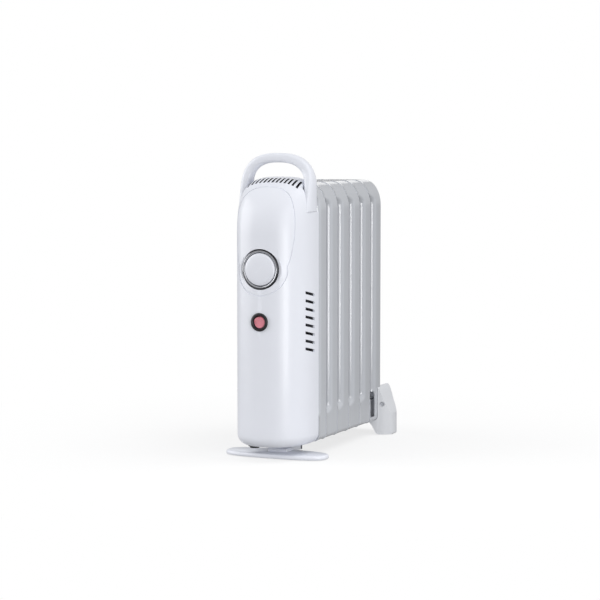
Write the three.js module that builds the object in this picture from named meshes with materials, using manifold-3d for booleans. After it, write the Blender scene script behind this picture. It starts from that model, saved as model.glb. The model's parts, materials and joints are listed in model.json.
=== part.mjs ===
// Oil filled radiator heater: a stack of pressed steel fins on an oil circuit, with a moulded
// control housing in front that carries an arched handle, a thermostat dial and a rocker switch.
// Millimetres, +Z up. The fins are stacked along +Y and the control panel faces -Y.
// Sizes are worked out in the stack's own frame, where y = 0 is the back edge of the front cover,
// and the whole group is then moved so that the origin is the bottom centre of the bounding box.
import * as THREE from "three";
import { mergeVertices } from "three/addons/utils/BufferGeometryUtils.js";
import Module from "manifold-3d";

const wasm = await Module();
wasm.setup();

// ---------------------------------------------------------------- driving dimensions
const gap = 0.3; // between pieces that touch
const fins = {
  count: 6,
  pitch: 37.4, // from one fin to the next
  firstY: 2, // front of the first fin
  halfWidth: 49,
  bottom: 20,
  top: 347,
  topCornerX: 24, // elliptical top corners
  topCornerZ: 34,
  bottomCorner: 6,
  sheet: 1.4,
  flange: 23, // folded side edge, front to back
  bend: 8, // outer radius of the fold
  seam: 0.6, // between one fin's edge and the next fin's hood
  windowLow: 64, // side windows, where the hood is cut back
  windowHigh: 316,
  windowSlant: 13,
  notchHalf: 22, // air opening in the hood, top and bottom
};
const oil = {
  low: 58, // height of the bottom passage
  high: 300, // height of the top passage
  bore: 13,
  collarWall: 3,
  panelHalf: 33, // embossed oil panel
  panelLow: 37,
  panelHigh: 321,
  panelThick: 10,
  panelBevel: 2.5,
  panelCorner: 18,
  wallInset: 3, // from the panel's outline in to the oil space
  skin: 1.3, // front and back wall of the oil space
  slotHalf: 8, // web between the two upright channels
  slotLow: 98,
  slotHigh: 260,
};
const cover = {
  halfWidth: 49.5,
  depth: 70,
  bottom: 17.5,
  top: 355,
  wall: 2.4,
  squareness: 2.6, // exponent of the plan outline
  crownStart: 282, // where the front starts to lean back
  crownPower: 2.2,
  shoulderStart: 300, // where the sides start to close in
  shoulderPower: 3.5,
  bottomFillet: 14,
};
const handle = {
  top: 385,
  spring: 339.5, // where the arch starts on its legs
  legBottom: 312,
  thickness: 11.5,
  topThickness: 12,
  front: -20, // the arch's front and back faces
  back: -4,
  footFront: -30.5, // the legs flare towards the front where they meet the cover
  flareTop: 366,
  flareLow: 320,
  leanTop: 372, // and their back faces lean forward into the arch
  leanLow: 345,
  bevel: 2,
  squareness: 2.6,
};
const dial = {
  z: 241.5,
  seatY: -66, // flat floor under the dial
  seatThick: 3,
  bezelOuter: 24.8,
  bezelInner: 20.8,
  bezelFront: -69,
  knobRadius: 20.2,
  knobFront: -70.6,
  knobDome: 1.6,
  spindleRadius: 3,
  screwX: 13, // screws of the thermostat's bracket, under the knob
};
const rocker = {
  z: 176,
  bezelRadius: 11.5,
  bezelThick: 1.9,
  bodyRadius: 9.8,
  bodyDepth: 20,
  pocketRadius: 8.2,
  pocketDepth: 9.5,
  halfWidth: 7.4,
  halfHeight: 6.9,
  pivotBack: 3.2, // pivot behind the bezel's front face
  tilt: 9, // degrees either side of the middle
};
const slots = { count: 13, pitch: 5.6, width: 2.6, front: -33, back: -17.5 };
const vents = { count: 8, pitch: 10.05, top: 209.4, front: -34, back: -12, width: 3.6, drop: 4.6 };
const shield = { front: -6.5, thick: 1.2 };
const element = { rod: 3.5, legs: 6, front: -20, behindPlate: 4, flangeRadius: 19, flangeThick: 3.5 };
const frontFoot = { halfWidth: 69, halfDepth: 24, y: -18, bottom: 1, top: 6.5, squareness: 2.8, neck: 13 };
const rearFoot = { halfWidth: 67, halfDepth: 24.5, behind: 10.5, bottom: 1, arch: 17.8, squareness: 3 };
const pad = { radius: 7, thick: 2 };
const uBolt = { rod: 2, clearance: 0.5 };

// ---------------------------------------------------------------- solids
function solid(geometry) {
  const plain = geometry.index ? geometry.toNonIndexed() : geometry.clone();
  for (const name of Object.keys(plain.attributes)) {
    if (name !== "position") plain.deleteAttribute(name);
  }
  const merged = mergeVertices(plain, 1e-4);
  return new wasm.Manifold(
    new wasm.Mesh({
      numProp: 3,
      vertProperties: new Float32Array(merged.attributes.position.array),
      triVerts: new Uint32Array(merged.index.array),
    }),
  );
}

function geometryOf(body) {
  const mesh = body.simplify(0.004).getMesh();
  const out = new THREE.BufferGeometry();
  out.setAttribute("position", new THREE.BufferAttribute(mesh.vertProperties.slice(), 3));
  out.setIndex(new THREE.BufferAttribute(mesh.triVerts.slice(), 1));
  out.computeVertexNormals();
  return out;
}

const join = (...bodies) => bodies.reduce((a, b) => a.add(b));
const cut = (body, ...tools) => tools.reduce((a, b) => a.subtract(b), body);

function box(x0, x1, y0, y1, z0, z1) {
  const g = new THREE.BoxGeometry(x1 - x0, y1 - y0, z1 - z0);
  return solid(g.translate((x0 + x1) / 2, (y0 + y1) / 2, (z0 + z1) / 2));
}

// Cylinders along each axis, from one end to the other.
function rodY(r, y0, y1, x = 0, z = 0, sides = 20) {
  return solid(new THREE.CylinderGeometry(r, r, y1 - y0, sides).translate(x, (y0 + y1) / 2, z));
}
function rodZ(r, z0, z1, x = 0, y = 0, sides = 20) {
  const g = new THREE.CylinderGeometry(r, r, z1 - z0, sides).rotateX(Math.PI / 2);
  return solid(g.translate(x, y, (z0 + z1) / 2));
}
function rodX(r, x0, x1, y = 0, z = 0, sides = 12) {
  const g = new THREE.CylinderGeometry(r, r, x1 - x0, sides).rotateZ(Math.PI / 2);
  return solid(g.translate((x0 + x1) / 2, y, z));
}

// Extrusions of a flat outline: an (x, z) outline along Y, a (y, z) outline along X, an (x, y) one up Z.
function flat(shape, depth, bevel, steps, curve) {
  return new THREE.ExtrudeGeometry(shape, {
    depth: depth - 2 * bevel,
    bevelEnabled: bevel > 0,
    bevelSize: bevel,
    bevelThickness: bevel,
    bevelOffset: -bevel,
    bevelSegments: steps,
    curveSegments: curve,
  }).translate(0, 0, bevel);
}
function alongY(shape, y0, y1, bevel = 0, curve = 3) {
  return solid(flat(shape, y1 - y0, bevel, 1, curve).rotateX(Math.PI / 2).translate(0, y1, 0));
}
function alongZ(shape, z0, z1, bevel = 0, curve = 8) {
  return solid(flat(shape, z1 - z0, bevel, 1, curve).translate(0, 0, z0));
}
const turnToX = new THREE.Matrix4().makeBasis(
  new THREE.Vector3(0, 1, 0),
  new THREE.Vector3(0, 0, 1),
  new THREE.Vector3(1, 0, 0),
);
function alongX(shape, x0, x1, bevel = 0, curve = 8) {
  return solid(flat(shape, x1 - x0, bevel, 1, curve).applyMatrix4(turnToX).translate(x0, 0, 0));
}

const polygon = (points) => new THREE.Shape(points.map(([u, v]) => new THREE.Vector2(u, v)));

function roundedBox(half, low, high, r) {
  const s = new THREE.Shape();
  s.absarc(half - r, low + r, r, -Math.PI / 2, 0);
  s.absarc(half - r, high - r, r, 0, Math.PI / 2);
  s.absarc(-half + r, high - r, r, Math.PI / 2, Math.PI);
  s.absarc(-half + r, low + r, r, Math.PI, 1.5 * Math.PI);
  return s;
}

// A point of the curve |u/a|^n + |v/b|^n = 1 at angle t.
function superPoint(a, b, n, t) {
  const c = Math.cos(t);
  const s = Math.sin(t);
  return [
    a * Math.sign(c) * Math.abs(c) ** (2 / n),
    b * Math.sign(s) * Math.abs(s) ** (2 / n),
  ];
}
function superOutline(a, b, n, centre, count) {
  return polygon(
    Array.from({ length: count }, (_, i) => {
      const [u, v] = superPoint(a, b, n, (2 * Math.PI * (i + 0.5)) / count);
      return [u, v + centre];
    }),
  );
}

// A body of revolution about the Y axis line through (x, z): profile points are [radius, y].
function turned(profile, x, z, sides = 28) {
  const g = new THREE.LatheGeometry(profile.map(([r, y]) => new THREE.Vector2(r, y)), sides);
  return solid(g.translate(x, 0, z));
}
const ringY = (inner, outer, y0, y1, x, z, sides = 20) =>
  cut(rodY(outer, y0, y1, x, z, sides), rodY(inner, y0 - 1, y1 + 1, x, z, sides));

// A skin over a stack of closed loops, each clockwise as seen from the far end of the stack.
function loft(loops) {
  const n = loops[0].length;
  const at = loops.map((loop) => loop.map((p) => new THREE.Vector3(...p)));
  const out = [];
  const face = (a, b, c) => out.push(...a.toArray(), ...b.toArray(), ...c.toArray());
  for (let j = 0; j + 1 < at.length; j += 1) {
    for (let i = 0; i < n; i += 1) {
      const k = (i + 1) % n;
      face(at[j][i], at[j + 1][i], at[j][k]);
      face(at[j][k], at[j + 1][i], at[j + 1][k]);
    }
  }
  const last = at.length - 1;
  for (let i = 1; i + 1 < n; i += 1) {
    face(at[0][0], at[0][i], at[0][i + 1]);
    face(at[last][0], at[last][i + 1], at[last][i]);
  }
  const g = new THREE.BufferGeometry();
  g.setAttribute("position", new THREE.BufferAttribute(new Float32Array(out), 3));
  return solid(g);
}

// Half of a ring of round rod, in the XZ plane and above z = 0.
function halfRing(radius, tube, steps = 12, sides = 10) {
  const loops = [];
  for (let j = 0; j <= steps; j += 1) {
    const u = (Math.PI * j) / steps;
    const section = [];
    for (let i = 0; i < sides; i += 1) {
      const a = (-2 * Math.PI * i) / sides;
      const r = radius + tube * Math.cos(a);
      section.push([r * Math.cos(u), tube * Math.sin(a), r * Math.sin(u)]);
    }
    loops.push(section);
  }
  return loft(loops);
}

// ---------------------------------------------------------------- materials
const paint = (color, roughness, metalness = 0) => ({ color, roughness, metalness });
const finish = {
  whitePlastic: paint(0xe9ebef, 0.38),
  greyPlastic: paint(0xc9cbce, 0.5),
  finPaint: paint(0xc6c9d0, 0.35, 0.1),
  chrome: paint(0xb9bcc4, 0.12, 1),
  steel: paint(0xa9adb3, 0.35, 1),
  blackPlastic: paint(0x1c1b1f, 0.4),
  redPlastic: paint(0xe06472, 0.2),
  rubber: paint(0x2a2a2c, 0.85),
  ceramic: paint(0xe4ddcf, 0.7),
  brass: paint(0xc9a55c, 0.3, 1),
  wireInsulation: paint(0x7a4a33, 0.6),
};

const heater = new THREE.Group();
function piece(name, body, look) {
  const mesh = new THREE.Mesh(geometryOf(body), new THREE.MeshStandardMaterial(look));
  mesh.name = name;
  heater.add(mesh);
}

// ---------------------------------------------------------------- fins and oil circuit
const finY = (k) => fins.firstY + k * fins.pitch; // front of fin k
const hoodDepth = fins.pitch - fins.flange - fins.seam;
const panelFront = (k) => finY(k) + fins.sheet / 2 - oil.panelThick / 2;
const panelBack = (k) => finY(k) + fins.sheet / 2 + oil.panelThick / 2;

function finOutline(inset) {
  const w = fins.halfWidth - inset;
  const rx = fins.topCornerX - inset;
  const rz = fins.topCornerZ - inset;
  const rb = fins.bottomCorner - inset;
  const low = fins.bottom + inset + rb;
  const high = fins.top - inset - rz;
  const s = new THREE.Shape();
  s.absarc(w - rb, low, rb, -Math.PI / 2, 0);
  s.absellipse(w - rx, high, rx, rz, 0, Math.PI / 2);
  s.absellipse(rx - w, high, rx, rz, Math.PI / 2, Math.PI);
  s.absarc(rb - w, low, rb, Math.PI, 1.5 * Math.PI);
  return s;
}

// Plan section beside the windows: a plate whose ends turn back into side flanges over a round fold.
function foldSection() {
  const w = fins.halfWidth;
  const r = fins.bend;
  const t = fins.sheet;
  const outer = new THREE.Path().absarc(w - r, r, r, 0, -Math.PI / 2, true).getPoints(3);
  const inner = new THREE.Path().absarc(w - r, r, r - t, -Math.PI / 2, 0).getPoints(3);
  const right = [[w - t, fins.flange], [w, fins.flange], ...outer.map((p) => [p.x, p.y])];
  const back = inner.map((p) => [p.x, p.y]);
  const mirror = (points) => points.map(([x, y]) => [-x, y]).reverse();
  return polygon([...right, ...mirror(right), ...mirror(back), ...back]);
}

// The embossed panel: two upright channels joined at the top and the bottom.
function panelOutline(inset) {
  const r = oil.panelCorner - inset;
  const s = roundedBox(oil.panelHalf - inset, oil.panelLow + inset, oil.panelHigh - inset, r);
  const half = oil.slotHalf + inset;
  s.holes.push(roundedBox(half, oil.slotLow - inset, oil.slotHigh + inset, half - 0.01));
  return s;
}

function fin(k) {
  const y = finY(k);
  const hood = k === 0 ? 0.5 : hoodDepth;
  const back = y + fins.flange;
  const w = fins.halfWidth;
  // top and bottom: a shallow tray on both faces of the plate
  const ends = cut(
    alongY(finOutline(0), y - hood, back),
    alongY(finOutline(fins.sheet), y - hood - 1, y),
    alongY(finOutline(fins.sheet), y + fins.sheet, back + 1),
    box(-w - 1, w + 1, y - hood - 1, back + 1, fins.windowLow, fins.windowHigh),
  );
  // the hood's front edge slants in to the windows at both sides
  const slant = polygon([
    [y, fins.windowLow],
    [y, fins.windowHigh],
    [y - hood - 1, fins.windowHigh + fins.windowSlant],
    [y - hood - 1, fins.windowLow - fins.windowSlant],
  ]);
  const middle = alongZ(foldSection(), fins.windowLow, fins.windowHigh).translate([0, y, 0]);
  let body = join(cut(ends, alongX(slant, -w - 1, w + 1)), middle);
  // air openings through the hood, above and below the oil panel
  if (k > 0) {
    const n = fins.notchHalf;
    body = cut(
      body,
      box(-n, n, y - hood - 1, y - 0.01, fins.bottom - 1, fins.bottom + 6),
      box(-n, n, y - hood - 1, y - 0.01, fins.top - 6, fins.top + 1),
    );
  }
  body = join(body, alongY(panelOutline(0), panelFront(k), panelBack(k), oil.panelBevel, 2));
  const oilSpace = alongY(
    panelOutline(oil.wallInset),
    panelFront(k) + oil.skin,
    panelBack(k) - oil.skin,
    0,
    2,
  );
  // collars that carry the oil passages on to the next fin
  const last = k === fins.count - 1;
  const passageEnd = last ? panelBack(k) : panelFront(k + 1) - gap;
  const levels = [oil.low, oil.high];
  if (!last) {
    const r = oil.bore + oil.collarWall;
    body = join(body, ...levels.map((z) => rodY(r, panelBack(k) - 1, passageEnd, 0, z, 18)));
  }
  const bores = levels.map((z) => rodY(oil.bore, panelFront(k) - 1, passageEnd + 1, 0, z, 18));
  return cut(body, oilSpace, ...bores);
}

function addFins() {
  for (let k = 0; k < fins.count; k += 1) {
    let body = fin(k);
    if (k === fins.count - 1) {
      // slots low down in both sides, where the rear foot hooks in
      const w = fins.halfWidth;
      const y = finY(k);
      body = cut(
        body,
        box(-w - 1, 7 - w, y - 13, y + 4, 27, 66),
        box(w - 7, w + 1, y - 13, y + 4, 27, 66),
        ...footScrewX.map((x) => rodY(2.3, y - 1, y + 3, x, footScrewZ, 10)),
      );
    }
    piece(`fin_${k + 1}`, body, finish.finPaint);
  }
}

// Plugs that close the ends of the oil passages.
const plugRadius = oil.bore - 0.4;
function addOilPlugs() {
  const front = panelFront(0) - gap;
  const back = panelBack(fins.count - 1) + gap;
  const head = oil.bore + 4;
  piece(
    "front_oil_cap",
    join(
      rodY(head, front - 2.2, front, 0, oil.high),
      rodY(plugRadius, front - 1, front + 6, 0, oil.high),
    ),
    finish.steel,
  );
  piece(
    "rear_oil_cap",
    join(
      rodY(head, back, back + 2.2, 0, oil.low),
      rodY(plugRadius, back - 6, back + 1, 0, oil.low),
    ),
    finish.finPaint,
  );
  piece(
    "filler_plug",
    join(
      rodY(head, back, back + 2, 0, oil.high),
      rodY(head - 3, back + 1, back + 7, 0, oil.high, 6),
      rodY(plugRadius, back - 6, back + 1, 0, oil.high),
    ),
    finish.steel,
  );
}

// A U-shaped sheathed heating rod in the bottom passage, on a flange at the first fin.
function addHeatingElement() {
  const { rod, legs, front } = element;
  const bendY = finY(fins.count - 1) - element.behindPlate - legs;
  const rods = [-legs, legs].map((dz) => rodY(rod, front, bendY + 0.2, 0, oil.low + dz, 10));
  const turn = halfRing(legs, rod).rotate([-90, 90, 0]).translate([0, bendY, oil.low]);
  piece("heating_element", join(turn, ...rods), finish.steel);

  const gasketBack = panelFront(0) - gap;
  const gasketFront = gasketBack - 1;
  const gasket = ringY(oil.bore, element.flangeRadius, gasketFront, gasketBack, 0, oil.low);
  piece("element_gasket", gasket, finish.rubber);
  const flangeBack = gasketFront - gap;
  const plate = rodY(element.flangeRadius, flangeBack - element.flangeThick, flangeBack, 0, oil.low, 24);
  const holes = [-legs, legs].map((dz) =>
    rodY(rod + gap, flangeBack - 9, flangeBack + 9, 0, oil.low + dz, 12),
  );
  piece("element_flange", cut(plate, ...holes), finish.steel);
  [-legs, legs].forEach((dz, i) => {
    const z = oil.low + dz;
    const tab = box(-3.1, 3.1, front - 10, front - gap, z - 0.5, z + 0.5);
    piece(`element_terminal_${i + 1}`, tab, finish.brass);
  });
}

// ---------------------------------------------------------------- control housing
// One horizontal outline of the cover, as a closed loop, drawn in by `inset` and carried on
// `behind` its back edge.
const outlineSteps = 16;
function coverLoop(z, inset, behind) {
  const low = cover.bottom + inset;
  const high = cover.top - inset;
  const crown = Math.max(0, (z - cover.crownStart) / (high - cover.crownStart));
  const shoulder = Math.max(0, (z - cover.shoulderStart) / (high - cover.shoulderStart));
  const lift = Math.max(0, 1 - (z - low) / cover.bottomFillet);
  const fillet = cover.bottomFillet * (1 - Math.sqrt(Math.max(0, 1 - lift * lift)));
  const fall = (t, n) => Math.max(0.02, (1 - Math.min(1, t) ** n) ** (1 / n));
  const a = (cover.halfWidth - inset - fillet) * fall(shoulder, cover.shoulderPower);
  const d = (cover.depth - inset - fillet) * fall(crown, cover.crownPower);
  const loop = [];
  for (let i = 0; i <= outlineSteps; i += 1) {
    const [x, y] = superPoint(a, d, cover.squareness, (Math.PI * i) / outlineSteps);
    loop.push([x, -y, z]);
  }
  if (behind > 0) loop.push([-a, behind, z], [a, behind, z]);
  return loop;
}

function coverBody(inset, behind = 0) {
  const low = cover.bottom + inset;
  const high = cover.top - inset;
  const levels = [0, 0.13, 0.4, 1].map((t) => low + t * cover.bottomFillet);
  levels.push(150, cover.crownStart);
  const crownSteps = 8;
  for (let i = 1; i <= crownSteps; i += 1) {
    const rise = Math.sin((Math.PI * i) / (2 * crownSteps));
    levels.push(cover.crownStart + (high - cover.crownStart) * rise);
  }
  return loft(levels.map((z) => coverLoop(z, inset, behind)));
}

const screwX = cover.halfWidth - 9.5;
const screwSpots = [
  [-screwX, 70],
  [screwX, 70],
  [-screwX, 285],
  [screwX, 285],
];
const spacerZ = [120, 235];
const legInner = cover.halfWidth - handle.thickness;
const handleScrew = { x: legInner + 4.2, z: 318, radius: 1.5, bore: 1.8, head: -14 };
const glandAt = { x: -24, y: -34, radius: 6 };

function addCover() {
  let body = cut(coverBody(0), coverBody(cover.wall, 5));
  // flat seat for the dial
  const seatBack = dial.seatY + dial.seatThick;
  const seatRadius = dial.bezelOuter + 0.7;
  body = join(body, rodY(seatRadius + 2.4, dial.seatY, seatBack, 0, dial.z, 36));
  body = cut(
    body,
    rodY(seatRadius, -90, dial.seatY, 0, dial.z, 36),
    rodY(5.2, -90, seatBack + 1, 0, dial.z),
    ...[-dial.screwX, dial.screwX].map((x) => rodY(1.8, -90, seatBack + 1, x, dial.z, 10)),
    rodY(rocker.bodyRadius + gap, -90, -50, 0, rocker.z, 24),
  );
  // posts for the screws that hold the shield, and bosses for the handle's screws
  const posts = screwSpots.map(([x, z]) => {
    const side = Math.sign(x);
    const x0 = side > 0 ? x - 4.5 : x - 5.5;
    return box(x0, x0 + 10, -32, shield.front - gap, z - 4.5, z + 4.5);
  });
  const bosses = [-handleScrew.x, handleScrew.x].map((x) =>
    box(x - 4, x + 3, handle.footFront - 4.5, handle.footFront - 2 * gap, 312.5, 323.5),
  );
  body = join(body, ...posts, ...bosses);
  body = cut(body, ...screwSpots.map(([x, z]) => rodY(1.8, -24, 5, x, z, 10)));
  // notches for the handle's legs
  const notch = polygon([
    [8, handle.legBottom - gap],
    [8, 400],
    [handleFront(400) - gap, 400],
    [handleFront(400) - gap, handle.flareTop],
    [handle.footFront - gap, handle.flareLow],
    [handle.footFront - gap, handle.legBottom - gap],
  ]);
  const notches = [
    alongX(notch, legInner - 3 * gap, 70),
    alongX(notch, -70, 3 * gap - legInner),
  ];
  const holeEnd = handle.footFront - 3.5;
  const screwHoles = [-handleScrew.x, handleScrew.x].map((x) =>
    rodY(handleScrew.bore, holeEnd, 5, x, handleScrew.z, 10),
  );
  body = cut(
    body,
    ...notches,
    ...screwHoles,
    rodZ(glandAt.radius + gap, cover.bottom - 2, cover.bottom + cover.wall + 2, glandAt.x, glandAt.y),
  );
  // grille slots over the top, and slanted vents in both sides
  const first = (-(slots.count - 1) * slots.pitch) / 2;
  for (let i = 0; i < slots.count; i += 1) {
    const x = first + i * slots.pitch;
    body = cut(body, box(x - slots.width / 2, x + slots.width / 2, slots.front, slots.back, 325, 365));
  }
  for (let i = 0; i < vents.count; i += 1) {
    const z = vents.top - i * vents.pitch;
    const h = vents.width / 2;
    const slit = polygon([
      [vents.front, z + vents.drop / 2 - h],
      [vents.back, z - vents.drop / 2 - h],
      [vents.back, z - vents.drop / 2 + h],
      [vents.front, z + vents.drop / 2 + h],
    ]);
    body = cut(body, alongX(slit, 30, 60), alongX(slit, -60, -30));
  }
  piece("front_cover", body, finish.whitePlastic);
}

// The handle's front and back faces at a height.
function between(z, z0, y0, z1, y1) {
  const t = Math.min(1, Math.max(0, (z - z0) / (z1 - z0)));
  return y0 + (y1 - y0) * t;
}
function handleFront(z) {
  return between(z, handle.flareLow, handle.footFront, handle.flareTop, handle.front);
}
function handleBack(z) {
  return between(z, handle.leanLow, 0, handle.leanTop, handle.back);
}

// A chamfered section of the handle, from its outer edge to its inner edge.
function handleSection([x0, z0], [x1, z1]) {
  const c = handle.bevel;
  const width = Math.hypot(x1 - x0, z1 - z0);
  const at = (d, y) => [x0 + ((x1 - x0) * d) / width, y, z0 + ((z1 - z0) * d) / width];
  const front = handleFront(z0);
  const back = handleBack(z0);
  return [
    at(0, front + c),
    at(c, front),
    at(width - c, front),
    at(width, front + c),
    at(width, back - c),
    at(width - c, back),
    at(c, back),
    at(0, back - c),
  ];
}

function addHandle() {
  const w = cover.halfWidth;
  const steps = 24;
  const rise = handle.top - handle.spring;
  const legs = [handle.legBottom, handle.flareLow, 330];
  const loops = legs.map((z) => handleSection([w, z], [legInner, z]));
  for (let i = 0; i <= steps; i += 1) {
    const t = (Math.PI * i) / steps;
    const outer = superPoint(w, rise, handle.squareness, t);
    const inner = superPoint(legInner, rise - handle.topThickness, handle.squareness, t);
    loops.push(handleSection([outer[0], outer[1] + handle.spring], [inner[0], inner[1] + handle.spring]));
  }
  loops.push(...legs.reverse().map((z) => handleSection([-w, z], [-legInner, z])));
  const screws = [-handleScrew.x, handleScrew.x];
  const body = cut(
    loft(loops),
    ...screws.map((x) => rodY(handleScrew.bore, handle.footFront - 2, 5, x, handleScrew.z, 10)),
    ...screws.map((x) => rodY(3.5, handleScrew.head, 5, x, handleScrew.z, 12)),
  );
  piece("handle", body, finish.whitePlastic);
  screws.forEach((x, i) => {
    const head = handleScrew.head + gap;
    const screw = join(
      rodY(3.1, head, head + 2.2, x, handleScrew.z, 12),
      rodY(handleScrew.radius, handle.footFront - 3, head + 1, x, handleScrew.z, 8),
    );
    piece(`handle_screw_${i + 1}`, screw, finish.steel);
  });
}

function addShield() {
  const back = shield.front + shield.thick;
  const clearance = 0.4;
  let plate = coverBody(cover.wall + clearance, 5).intersect(box(-60, 60, shield.front, back, 0, 400));
  const notch = [-1, 1].map((side) => {
    const inner = side * (legInner - 4 * gap);
    const outer = side * 70;
    const low = handle.legBottom - 2 * gap;
    return box(Math.min(inner, outer), Math.max(inner, outer), -20, 8, low, 400);
  });
  plate = cut(
    plate,
    ...notch,
    rodY(element.flangeRadius + 2, -20, 5, 0, oil.low, 24),
    rodY(oil.bore + 6, -20, 5, 0, oil.high, 24),
    ...screwSpots.map(([x, z]) => rodY(1.9, -20, 5, x, z, 10)),
    ...spacerZ.map((z) => rodY(2.2, -20, 5, 0, z, 10)),
  );
  piece("heat_shield", plate, finish.steel);
  spacerZ.forEach((z, i) => {
    piece(`shield_spacer_${i + 1}`, ringY(2.2, 5, back + gap, fins.firstY - gap, 0, z, 14), finish.steel);
    const head = shield.front - gap;
    piece(
      `shield_screw_${i + 1}`,
      join(rodY(3.6, head - 2.2, head, 0, z, 12), rodY(1.8, head - 1, fins.firstY - 1, 0, z, 8)),
      finish.steel,
    );
  });
  screwSpots.forEach(([x, z], i) => {
    const head = back + gap;
    piece(
      `cover_screw_${i + 1}`,
      join(rodY(3.4, head, head + 1.9, x, z, 12), rodY(1.5, -20, head + 1, x, z, 8)),
      finish.steel,
    );
  });
}

// ---------------------------------------------------------------- dial and thermostat
function addDial() {
  const z = dial.z;
  const back = dial.seatY - gap;
  const mid = (dial.bezelInner + dial.bezelOuter) / 2;
  const bezel = turned(
    [
      [dial.bezelInner, back],
      [dial.bezelOuter, back],
      [dial.bezelOuter, dial.bezelFront + 1.4],
      [mid + 0.9, dial.bezelFront],
      [mid - 0.9, dial.bezelFront],
      [dial.bezelInner, dial.bezelFront + 1.4],
      [dial.bezelInner, back],
    ].reverse(),
    0,
    z,
    36,
  );
  piece("dial_bezel", bezel, finish.chrome);

  // knob: a shallow domed cap with a skirt and a hub
  const r = dial.knobRadius;
  const rim = dial.seatY - 2 * gap;
  const inner = dial.knobFront + 1.8;
  const cap = turned(
    [
      [0, dial.knobFront - dial.knobDome],
      [r * 0.5, dial.knobFront - dial.knobDome * 0.75],
      [r - 1.2, dial.knobFront],
      [r, dial.knobFront + 1.2],
      [r, rim],
      [r - 2.2, rim],
      [r - 2.2, inner],
      [6, inner],
      [6, rim],
      [dial.spindleRadius + gap, rim],
      [dial.spindleRadius + gap, inner - 1],
      [0, inner - 1],
    ],
    0,
    z,
    32,
  );
  piece("thermostat_knob", cap, finish.whitePlastic);
  piece(
    "thermostat_spindle",
    cut(
      rodY(dial.spindleRadius, inner - 1 + gap, -51, 0, z, 16),
      box(dial.spindleRadius - 0.8, 9, dial.knobFront - 5, rim + 2, z - 9, z + 9),
    ),
    finish.steel,
  );
}

function addThermostat() {
  const z = dial.z;
  const plateFront = dial.seatY + dial.seatThick + gap;
  const plateBack = plateFront + 1.2;
  const bodyFront = plateBack + gap;
  const plate = cut(
    box(-18, 18, plateFront, plateBack, z - 9, z + 9),
    rodY(5.2, -80, -40, 0, z),
    ...[-dial.screwX, dial.screwX].map((x) => rodY(1.8, -80, -40, x, z, 10)),
  );
  piece("thermostat_bracket", plate, finish.steel);
  const bush = rodY(4.8, dial.seatY + gap, bodyFront + 1, 0, z);
  const block = box(-10, 10, bodyFront, -42, z - 12, z + 12);
  piece("thermostat_body", cut(join(block, bush), rodY(3.3, -90, -50.5, 0, z)), finish.ceramic);
  [-dial.screwX, dial.screwX].forEach((x, i) => {
    const head = dial.seatY - gap;
    piece(
      `thermostat_screw_${i + 1}`,
      join(rodY(2.6, head - 1.5, head, x, z, 12), rodY(1.5, head - 1, plateBack + 2, x, z, 8)),
      finish.steel,
    );
  });
  piece("bimetal_blade", box(-4, 4, -42 + gap, -41, z - 16, z + 12), finish.brass);
}

// ---------------------------------------------------------------- rocker switch
const bezelFront = -cover.depth - gap - rocker.bezelThick;
const pivotY = bezelFront + rocker.pivotBack;
function addSwitch() {
  const z = rocker.z;
  const bodyBack = bezelFront + rocker.bezelThick + rocker.bodyDepth;
  const bezel = turned(
    [
      [0, bezelFront],
      [rocker.bezelRadius - 0.9, bezelFront],
      [rocker.bezelRadius, bezelFront + 0.9],
      [rocker.bezelRadius, bezelFront + rocker.bezelThick],
      [0, bezelFront + rocker.bezelThick],
    ],
    0,
    z,
    32,
  );
  const shell = join(bezel, rodY(rocker.bodyRadius, bezelFront + 1, bodyBack, 0, z, 28));
  const pocket = rodY(rocker.pocketRadius, bezelFront - 1, bezelFront + rocker.pocketDepth, 0, z, 28);
  piece("switch_body", cut(shell, pocket, rodX(1.35, -9.3, 9.3, pivotY, z)), finish.blackPlastic);

  // the rocker: an oval paddle with a shallow V face, tipped to its off side at rest
  const face = polygon([
    [3.6, -6],
    [4.4, 0],
    [3.6, 6],
    [-3.3, 8],
    [-1.9, 0],
    [-3.3, -8],
  ]);
  const oval = superOutline(rocker.halfWidth, rocker.halfHeight, 2, 0, 26);
  const paddle = join(
    alongY(oval, -8, 6).intersect(alongX(face, -12, 12)),
    rodX(1, -8.9, 8.9, 0, 0),
  );
  piece("switch_rocker", paddle.rotate([rocker.tilt, 0, 0]).translate([0, pivotY, z]), finish.redPlastic);
  [-5, 0, 5].forEach((dz, i) => {
    const y0 = bodyBack + gap;
    const tab = box(-2.4, 2.4, y0, y0 + 7, z + dz - 0.4, z + dz + 0.4);
    piece(`switch_terminal_${i + 1}`, tab, finish.brass);
  });
}

// ---------------------------------------------------------------- wiring and inlet
function wire(name, points) {
  const curve = new THREE.CatmullRomCurve3(points.map((p) => new THREE.Vector3(...p)));
  const section = new THREE.Shape().absarc(0, 0, 1.1, 0, 2 * Math.PI);
  const g = new THREE.ExtrudeGeometry(section, {
    steps: 4 * (points.length - 1),
    extrudePath: curve,
    curveSegments: 4,
    bevelEnabled: false,
  });
  piece(name, solid(g), finish.wireInsulation);
}

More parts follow.
